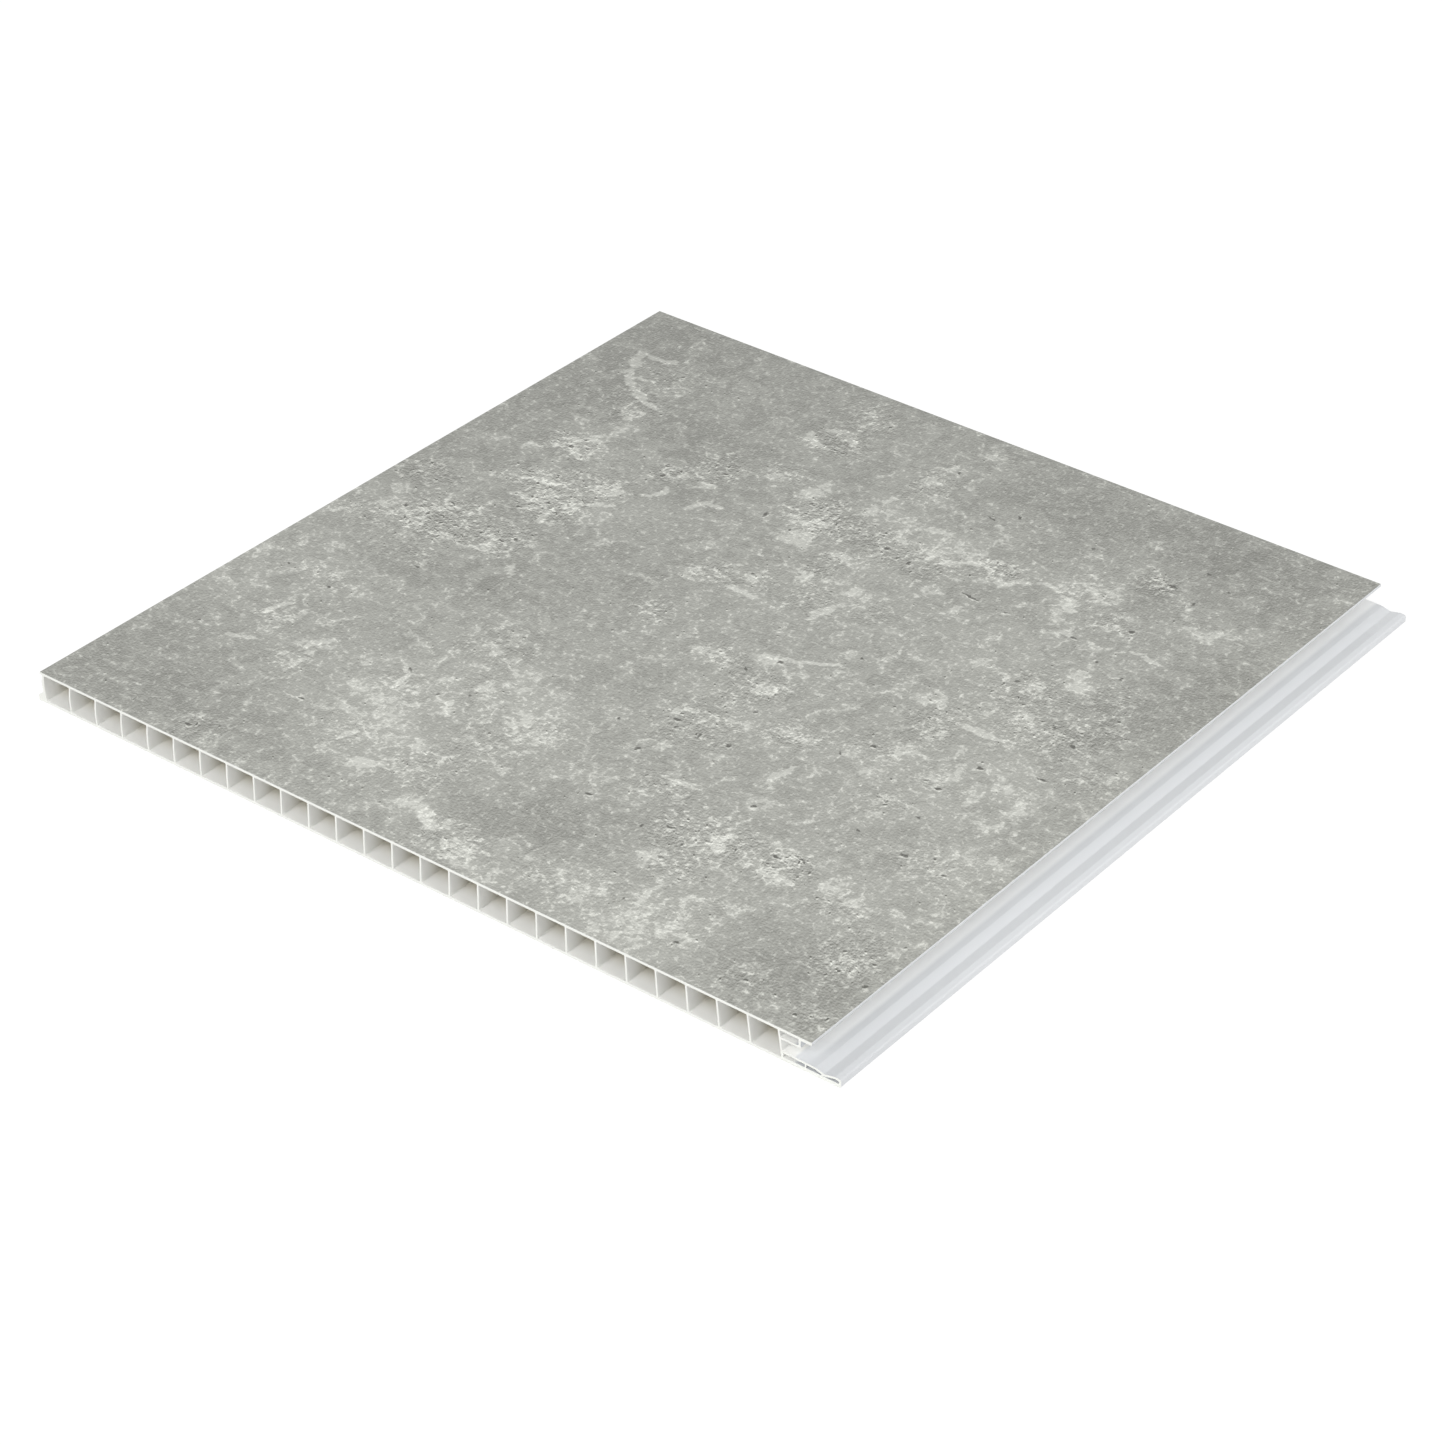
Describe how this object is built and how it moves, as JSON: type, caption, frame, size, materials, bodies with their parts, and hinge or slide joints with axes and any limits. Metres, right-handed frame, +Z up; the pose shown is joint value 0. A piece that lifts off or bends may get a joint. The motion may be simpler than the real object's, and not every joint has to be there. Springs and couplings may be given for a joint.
{
  "type": "hollow wall panel",
  "caption": "Flat hollow-core PVC wall panel, one cut length of extrusion, with a grey stone-effect face, a grooved lip edge and a nailing flange.",
  "frame": {"origin": "middle of the back of the panel, at the bottom centre of its bounding box", "axes": "+Z up out of the printed face, +Y along the extrusion, +X across the panel from its free edge to the nailing flange"},
  "size_m": [0.2596, 0.26, 0.009],
  "materials": {
    "white_pvc": "satin",
    "stone_print": "satin"
  },
  "bodies": {
    "root": {"wall_panel": "white_pvc"}
  },
  "joints": []
}
